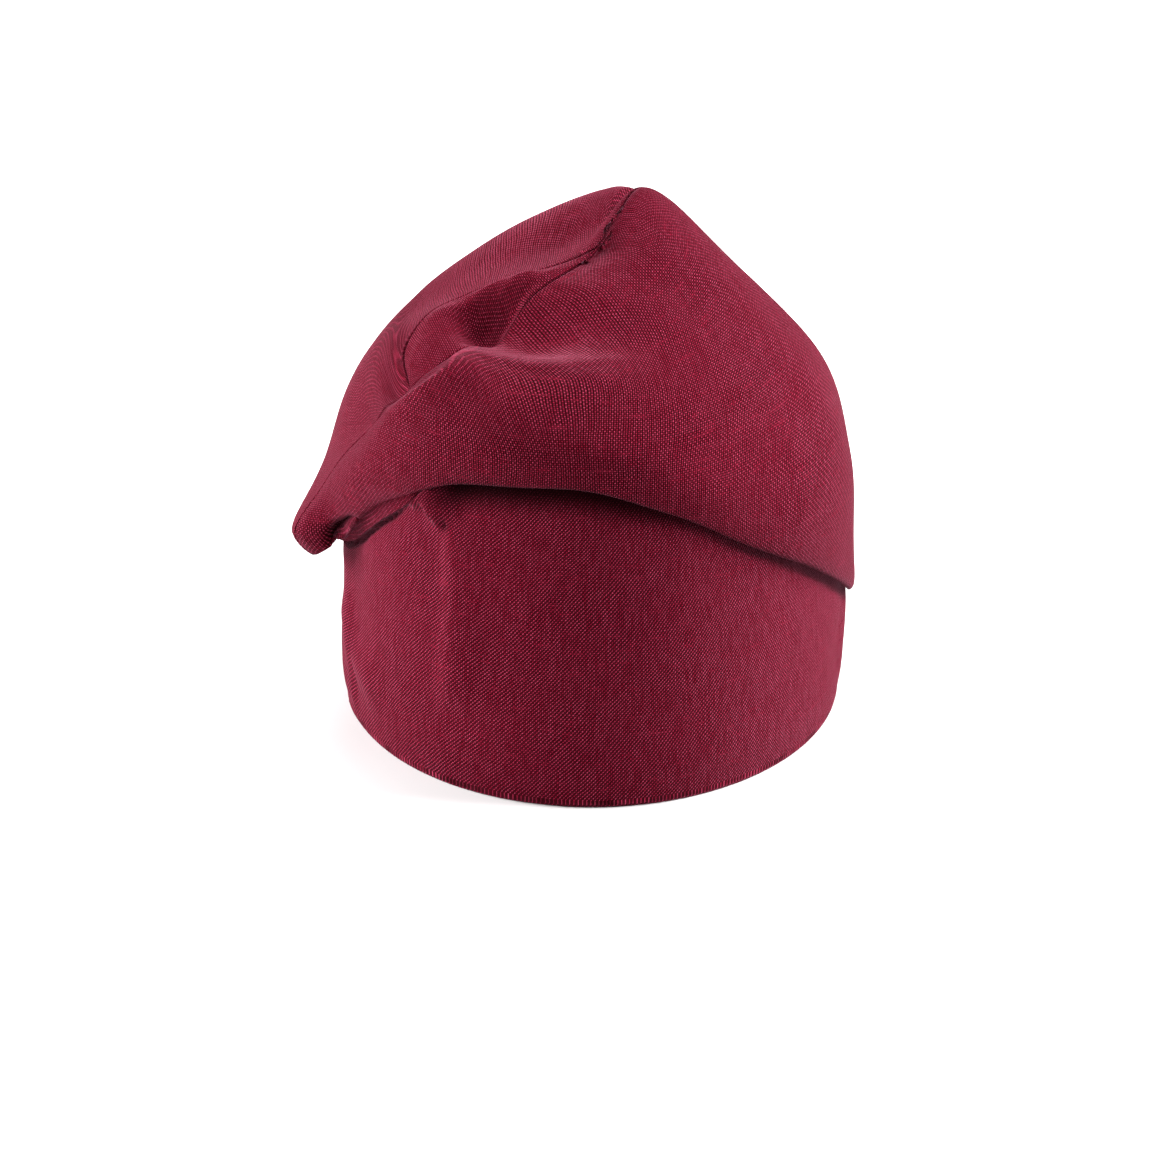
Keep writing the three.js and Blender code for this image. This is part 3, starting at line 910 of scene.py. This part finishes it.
shares = np.linspace(left_tip, 1 - right_tip, crown_columns)
sunk_tips = smooth_share(np.abs(shares - 0.5), 0.46, 0.49) * tip_sink
rows = edge_packed(crown_rows, crown_width)
net = crown_net(shares, rows) - sunk_tips[:, None] * np.array((0, 0, 1))
print("crown rows and columns", net.shape[:2])

# %% [markdown]
# ## Seams and painted shade of the crown
# The two long edges of the crown turn in as the walls' do. Besides the painted shade in the seams,
# the near edge has painted shade along the pocket, where the brow stands over it.

# %% Edges and painted shade of the crown
pocket_painted_shade = 0.6
pocket_reach = 1.8 * mm

normals = net_normals(net)
reach = from_edge(net, 0), from_edge(net[::-1], 0)[::-1]
sag = sum(quarter_sag(np.maximum(d - seam_gap / 2, 0)) for d in reach)
net = net - normals * np.minimum(sag, seam_round)[..., None]
near_tuck = net[:1] - normals[:1] * tuck_depth
far_tuck = net[-1:] - normals[-1:] * tuck_depth
net = np.concatenate([near_tuck, net, far_tuck])
crown_coordinates = cloth_coordinates(net, crown_columns // 2)
flat = np.zeros(net.shape[:2])
in_pocket = smooth_share(shares, 0.3, 0.38) * (1 - smooth_share(shares, 0.56, 0.66))
# painted shade along the near edge in the pocket, under the brow
painted_shade = pocket_painted_shade * np.exp(-(from_edge(net, 0) / pocket_reach) ** 2) * in_pocket
shade = seam_shade(*reach) * (1 - smooth_share(np.abs(shares - 0.5), 0.42, 0.48))
shade = np.pad(shade, [(1, 1), (0, 0)], mode="edge")
painted_shade = np.maximum(painted_shade, shade)
masks = {"flap": flat + 1, "painted_shade": painted_shade, "wear_and_highlight": flat}
crown = cloth_piece("crown_cloth", net, crown_coordinates, masks, "crown_panel")

# %% [markdown]
# ## The floor
# The photograph has a pale sweep behind and below. A large pale floor does the same here. It is
# only a stage, so it is kept out of the object.

# %% Floor
floor_reach = 6
bm = bmesh.new()
bmesh.ops.create_grid(bm, x_segments=1, y_segments=1, size=floor_reach)
floor_mesh = bpy.data.meshes.new("floor")
bm.to_mesh(floor_mesh)
bm.free()
floor = bpy.data.objects.new("floor", floor_mesh)
bpy.context.scene.collection.objects.link(floor)
floor_material = bpy.data.materials.new("pale_floor")
floor_material.use_nodes = True
floor_shader = floor_material.node_tree.nodes["Principled BSDF"]
floor_shader.inputs["Base Color"].default_value = (0.82, 0.82, 0.82, 1)
floor_shader.inputs["Roughness"].default_value = 0.9
floor_mesh.materials.append(floor_material)
print("floor", 2 * floor_reach, "m wide")

# %% [markdown]
# ## Soft light from both sides
# Broad light comes from both sides and a little from above, with a weak white room to fill the
# shadows. The front of the band faces neither side, so it stays darker, as it is in the
# photograph. Area lights give this soft fall-off, which a sun lamp can't.

# %% Lights
Lamp = namedtuple("Lamp", "name place size power")
lamps = [
    Lamp("left_softbox", (-1.6, 0.1, 0.7), 1.2, 80),
    Lamp("right_softbox", (1.6, 0.15, 1.1), 1.2, 107),
    Lamp("top_softbox", (0, 0.7, 1.8), 1.2, 26),
]
for lamp in lamps:
    data = bpy.data.lights.new(lamp.name, "AREA")
    data.energy = lamp.power
    data.size = lamp.size
    light = bpy.data.objects.new(lamp.name, data)
    light.location = lamp.place
    aim = Vector((0, 0, 0.08)) - Vector(lamp.place)
    light.rotation_euler = aim.to_track_quat("-Z", "Y").to_euler()
    bpy.context.scene.collection.objects.link(light)

world = bpy.data.worlds.new("studio")
world.use_nodes = True
world.node_tree.nodes["Background"].inputs["Color"].default_value = (1, 1, 1, 1)
world.node_tree.nodes["Background"].inputs["Strength"].default_value = 0.15
bpy.context.scene.world = world
bpy.context.scene.view_settings.view_transform = "Standard"
print("lamps", [lamp.name for lamp in lamps])

# %% [markdown]
# ## Nodes as sentences
# A weave is mostly arithmetic on two numbers, the places along the weft and along the warp. Small
# helpers let that arithmetic read from left to right instead of as a list of sockets and links.

# %% Node helpers


def feed(tree, socket, value):
    if isinstance(value, bpy.types.NodeSocket):
        tree.links.new(value, socket)
    else:
        socket.default_value = value


def math_node(tree, operation, *values, clamp=False):
    node = tree.nodes.new("ShaderNodeMath")
    node.operation = operation
    node.use_clamp = clamp
    for socket, value in zip(node.inputs, values):
        feed(tree, socket, value)
    return node.outputs[0]


def remap(tree, value, low, high, to_low=0.0, to_high=1.0):
    node = tree.nodes.new("ShaderNodeMapRange")
    node.interpolation_type = "SMOOTHSTEP"
    for name, given in zip(
        ("Value", "From Min", "From Max", "To Min", "To Max"), (value, low, high, to_low, to_high)
    ):
        feed(tree, node.inputs[name], given)
    return node.outputs["Result"]

print("arithmetic helpers ready")

# %% [markdown]
# ## Noise, colours and groups
# The other helpers place a noise, build a vector, blend two colours and open a node group with
# named sockets. A group is worth it where an effect has its own settings, as a weave has.

# %% Noise, colours and groups


def noise(tree, place, scale, detail=2.0):
    node = tree.nodes.new("ShaderNodeTexNoise")
    feed(tree, node.inputs["Vector"], place)
    node.inputs["Scale"].default_value = scale
    node.inputs["Detail"].default_value = detail
    return node


def combine(tree, x=0.0, y=0.0, z=0.0):
    node = tree.nodes.new("ShaderNodeCombineXYZ")
    for socket, value in zip(node.inputs, (x, y, z)):
        feed(tree, socket, value)
    return node.outputs[0]


def blend(tree, share, low, high, kind="MIX"):
    node = tree.nodes.new("ShaderNodeMix")
    node.data_type = "RGBA"
    node.blend_type = kind
    feed(tree, node.inputs[0], share)
    feed(tree, node.inputs[6], low)
    feed(tree, node.inputs[7], high)
    return node.outputs[2]


def new_group(name, inputs, outputs):
    group = bpy.data.node_groups.new(name, "ShaderNodeTree")
    for label, kind, value in inputs:
        socket = group.interface.new_socket(label, in_out="INPUT", socket_type=kind)
        if value is not None:
            socket.default_value = value
    for label, kind in outputs:
        group.interface.new_socket(label, in_out="OUTPUT", socket_type=kind)
    given = group.nodes.new("NodeGroupInput").outputs
    result = group.nodes.new("NodeGroupOutput").inputs
    return group, given, result


print("colour and group helpers ready")

# %% [markdown]
# ## Plain weave
# In a plain weave every thread passes over one and under the next. It could be made of real
# threads, but at fourteen to the centimetre they would take millions of faces. So it is a pattern
# in one node group. Its inputs are the pitches and habits of the yarn, and it puts out how high
# the threads stand, where their tops are, the shade of each yarn and its thick places.

# %% Inputs and outputs of the weave
weave, given, result = new_group(
    "hand weave",
    [
        ("Cloth", "NodeSocketVector", None),
        ("Warp Pitch", "NodeSocketFloat", 0.7),
        ("Weft Pitch", "NodeSocketFloat", 0.75),
        ("Wander", "NodeSocketFloat", 1.0),
        ("Pairing", "NodeSocketFloat", 0.0),
        ("Weft Share", "NodeSocketFloat", 0.5),
        ("Twist", "NodeSocketFloat", 0.3),
        ("Ribs", "NodeSocketFloat", 0.0),
    ],
    [
        ("Height", "NodeSocketFloat"),
        ("Tops", "NodeSocketFloat"),
        ("Yarn", "NodeSocketFloat"),
        ("Slubs", "NodeSocketFloat"),
    ],
)
weave_math = partial(math_node, weave)
weave_noise = partial(noise, weave)
weave_vector = partial(combine, weave)
print("weave inputs", list(given.keys())[:-1])

# %% [markdown]
# ## Hand-spun yarn wanders
# Threads from a hand loom are never quite straight or evenly spaced. The place is pushed about by
# two noises before it is measured: a wide one bends whole bands of threads, and a fine one makes
# each thread thicker and thinner.

# %% Wandering threads


def wandering(place, scale, amount):
    node = weave.nodes.new("ShaderNodeVectorMath")
    node.operation = "MULTIPLY_ADD"
    feed(weave, node.inputs[0], weave_noise(place, scale).outputs["Color"])
    feed(weave, node.inputs[1], weave_vector(amount, amount))
    feed(weave, node.inputs[2], place)
    return node.outputs[0]


wide = wandering(given["Cloth"], 0.03, weave_math("MULTIPLY", given["Wander"], 3.0))
place = wandering(wide, 0.35, weave_math("MULTIPLY", given["Wander"], 0.35))
split = weave.nodes.new("ShaderNodeSeparateXYZ")
feed(weave, split.inputs[0], place)
across = weave_math("DIVIDE", split.outputs["X"], given["Warp Pitch"])
along = weave_math("DIVIDE", split.outputs["Y"], given["Weft Pitch"])
print("nodes so far", len(weave.nodes))

# %% [markdown]
# ## The chessboard of tops
# The tops of the threads lie like the squares of a chessboard. The product of two sines is
# positive on the dark squares and negative on the light ones. Its positive part gives the warp's
# tops, its negative part the weft's, and the lines where it is zero are the gaps. The product of
# two cosines tilts each top, as the twist of the yarn does.

# %% Tops of the threads
turn_across = weave_math("MULTIPLY", across, math.pi)
turn_along = weave_math("MULTIPLY", along, math.pi)
wave_across = weave_math("SINE", turn_across)
wave_along = weave_math("SINE", turn_along)
crest_across = weave_math("COSINE", turn_across)
slant = weave_math("MULTIPLY", crest_across, weave_math("COSINE", turn_along))
board = weave_math("MULTIPLY", wave_across, wave_along)
board = weave_math("MULTIPLY_ADD", slant, given["Twist"], board)
warp_tops = weave_math("MAXIMUM", board, 0.0)
weft_tops = weave_math("MULTIPLY", weave_math("MINIMUM", board, 0.0), -1.0)
low_tops = weave_math("MULTIPLY", weft_tops, given["Weft Share"])
tops = weave_math("ADD", warp_tops, low_tops)
print("nodes so far", len(weave.nodes))

# %% [markdown]
# ## A shade for each thread
# Yarn is dyed by the hank, so each thread has its own shade, which drifts along its length. The
# number of the thread picks a line through a noise, and the way along the thread moves slowly on
# that line. Slubs, the thick soft places of hand-spun yarn, are the peaks of one more such noise
# along the weft.

# %% Shades and slubs
drift = 0.09
slub_drift = 0.07
warp_column = weave_math("FLOOR", across)
weft_row = weave_math("FLOOR", along)
warp_line = weave_vector(weave_math("MULTIPLY", warp_column, 5.17),
                         weave_math("MULTIPLY", along, drift))
weft_line = weave_vector(weave_math("MULTIPLY", across, drift),
                         weave_math("MULTIPLY", weft_row, 4.63), 7.0)
slub_line = weave_vector(weave_math("MULTIPLY", across, slub_drift),
                         weave_math("MULTIPLY", weft_row, 3.17), 13.0)
shade = weave.nodes.new("ShaderNodeMix")
feed(weave, shade.inputs[0], weave_math("GREATER_THAN", board, 0.0))
feed(weave, shade.inputs[2], weave_noise(weft_line, 1.0).outputs["Fac"])
feed(weave, shade.inputs[3], weave_noise(warp_line, 1.0).outputs["Fac"])
yarn = remap(weave, shade.outputs[0], 0.3, 0.7)
slubs = remap(weave, weave_noise(slub_line, 1.0).outputs["Fac"], 0.58, 0.7)
print("nodes so far", len(weave.nodes))

# %% [markdown]
# ## Ribs and pairs on the flap
# Where the cloth is drawn, the warp stands out in ribs and its threads draw together in pairs. A
# rib runs on over the weft with a bead at each crossing. A dark gap between every second pair of
# threads is a narrow peak of the cosine. Both inputs are 0 on plain cloth.

# %% Ribs, pairs and height
bead = weave_math("MULTIPLY_ADD", weave_math("ABSOLUTE", wave_along), 0.5, 0.45)
rib = weave_math("MULTIPLY", weave_math("ABSOLUTE", wave_across), bead)
rib_share = weave_math("MULTIPLY", weave_math("SUBTRACT", rib, tops), given["Ribs"])
tops = weave_math("ADD", tops, rib_share)
pair_gap = weave_math("POWER", weave_math("MAXIMUM", crest_across, 0.0), 3.0)
pair_gap = weave_math("MULTIPLY", pair_gap, given["Pairing"])
tops = weave_math("MULTIPLY", tops, weave_math("SUBTRACT", 1.0, pair_gap))
height = weave_math("POWER", tops, 0.6)
height = weave_math("MULTIPLY", height, remap(weave, yarn, 0, 1, 0.75, 1.15))
for name, value in (("Height", height), ("Tops", tops), ("Yarn", yarn), ("Slubs", slubs)):
    feed(weave, result[name], value)
print("weave nodes", len(weave.nodes))

# %% [markdown]
# ## The weave on this cloth
# The pitches were counted in the photograph. The flap's mask, made with the wall, turns on the
# ribs and pairs there and takes some of the twist away, so band and flap are one cloth with one
# material.

# %% Weave of the cloth
cloth = bpy.data.materials.new("aso_oke")
cloth.use_nodes = True
tree = cloth.node_tree
cloth_math = partial(math_node, tree)
cloth_shader = tree.nodes["Principled BSDF"]
uv_map = tree.nodes.new("ShaderNodeUVMap")
uv_map.uv_map = "cloth"


def mask(name):
    node = tree.nodes.new("ShaderNodeAttribute")
    node.attribute_name = name
    return node.outputs["Fac"]


flap = mask("flap")
woven = tree.nodes.new("ShaderNodeGroup")
woven.node_tree = weave
for name, value in (
    ("Cloth", uv_map.outputs["UV"]), ("Warp Pitch", 0.7), ("Weft Pitch", 0.76), ("Weft Share", 0.3),
    ("Pairing", cloth_math("MULTIPLY", flap, 0.6)), ("Ribs", cloth_math("MULTIPLY", flap, 0.5)),
    ("Twist", remap(tree, flap, 0, 1, 0.4, 0.12)),
):
    feed(tree, woven.inputs[name], value)
print("pitches", *(round(woven.inputs[name].default_value, 2) for name in ("Warp Pitch", "Weft Pitch")))

# %% [markdown]
# ## Colours of the yarn
# The yarn is dyed wine red, from a deep to a light shade, and a slub is brighter because it is
# hardly twisted. Where the cloth is rubbed, the dye is paler, and the same pale colour paints the
# highlights that the marks lay on. These colours lie on the tops alone, and the gaps between them
# are near black red.

# %% Colours of the yarn
gap_colour = (0.012, 0.0001, 0.0006, 1)
thread_colour = (0.325, 0.01, 0.039, 1)
light_thread = (0.54, 0.05, 0.115, 1)
# near black, the colour of the painted shade
painted_shade_colour = (0.005, 0.0001, 0.0005, 1)
wear_and_highlight_colour = (0.55, 0.07, 0.14, 1)
slub_colour = (0.4, 0.012, 0.045, 1)
slub_share = 0.45
wear_and_highlight_share = 0.5

slubs = cloth_math("MULTIPLY", woven.outputs["Slubs"], slub_share)
threads = blend(tree, woven.outputs["Yarn"], thread_colour, light_thread)
threads = blend(tree, slubs, threads, slub_colour)
# rubbed edges turn pale, and so do the painted highlights of the marks
wear_and_highlight = cloth_math("MULTIPLY", mask("wear_and_highlight"), wear_and_highlight_share, clamp=True)
threads = blend(tree, wear_and_highlight, threads, wear_and_highlight_colour)
sharpness = remap(tree, flap, 0, 1, 1.6, 2.3)
lit = cloth_math("POWER", woven.outputs["Tops"], sharpness, clamp=True)
lit = cloth_math("MAXIMUM", lit, cloth_math("MULTIPLY", slubs, 0.35))
woven_colour = blend(tree, lit, gap_colour, threads)
print("nodes so far", len(tree.nodes))

# %% [markdown]
# ## Fading and painted shade
# A slow noise lays a few duller clouds over the cloth, as uneven dye does. The painted shade mask
# then darkens the cloth with painted shade under the lip, in the mouth of the tip, in the creases
# and grooves of the marks, in the crown's pocket and in the seams.

# %% Fading and painted shade
dull_colour = (0.12, 0.004, 0.014, 1)

clouds = noise(tree, uv_map.outputs["UV"], 0.03, 3.0).outputs["Fac"]
cloth_colour = blend(tree, remap(tree, clouds, 0.3, 0.7, 0.0, 0.15), woven_colour, dull_colour)
# painted shade under the lip, in the tip's mouth, creases, grooves, the crown's pocket and seams
painted_shade = cloth_math("MULTIPLY", mask("painted_shade"), 0.97, clamp=True)
cloth_colour = blend(tree, painted_shade, cloth_colour, painted_shade_colour)
feed(tree, cloth_shader.inputs["Base Color"], cloth_colour)
print("nodes so far", len(tree.nodes))

# %% [markdown]
# ## Fuzz and relief
# A short fuzz stands off hand-spun cotton. It shows as a pink bloom where the cloth turns away, so
# the material has a tinted sheen and hardly any gloss. The sheen is one number for all of the
# cloth, because other programs can't read a woven sheen. The weave's height goes into a Bump node,
# and the tops of the threads are rubbed a little smoother than the gaps.

# %% Surface of the cloth
bump = tree.nodes.new("ShaderNodeBump")
bump.inputs["Strength"].default_value = 0.8
bump.inputs["Distance"].default_value = 0.25 * mm
feed(tree, bump.inputs["Height"], woven.outputs["Height"])
feed(tree, cloth_shader.inputs["Normal"], bump.outputs["Normal"])
feed(tree, cloth_shader.inputs["Roughness"], remap(tree, lit, 0, 1, 1.0, 0.85))
cloth_shader.inputs["Specular IOR Level"].default_value = 0.02
cloth_shader.inputs["Sheen Weight"].default_value = 0.24
cloth_shader.inputs["Sheen Roughness"].default_value = 0.3
cloth_shader.inputs["Sheen Tint"].default_value = (1.0, 0.34, 0.5, 1)
for piece in pieces.values():
    piece.data.materials.append(cloth)
print("cloth nodes", len(tree.nodes), "on", list(pieces))

# %% [markdown]
# ## The cut of the cloth
# Each piece is cut flat before it is sewn, folded and pressed. The widest and longest that each
# piece printed as it was made are measured along the cloth of the model, hem included, so they
# give the size of the panel that a tailor would cut. The cut narrows towards the crown, so its area
# is less than width times length. Here the pieces are only counted.

# %% The flat pieces
print("sheets", len(pieces))
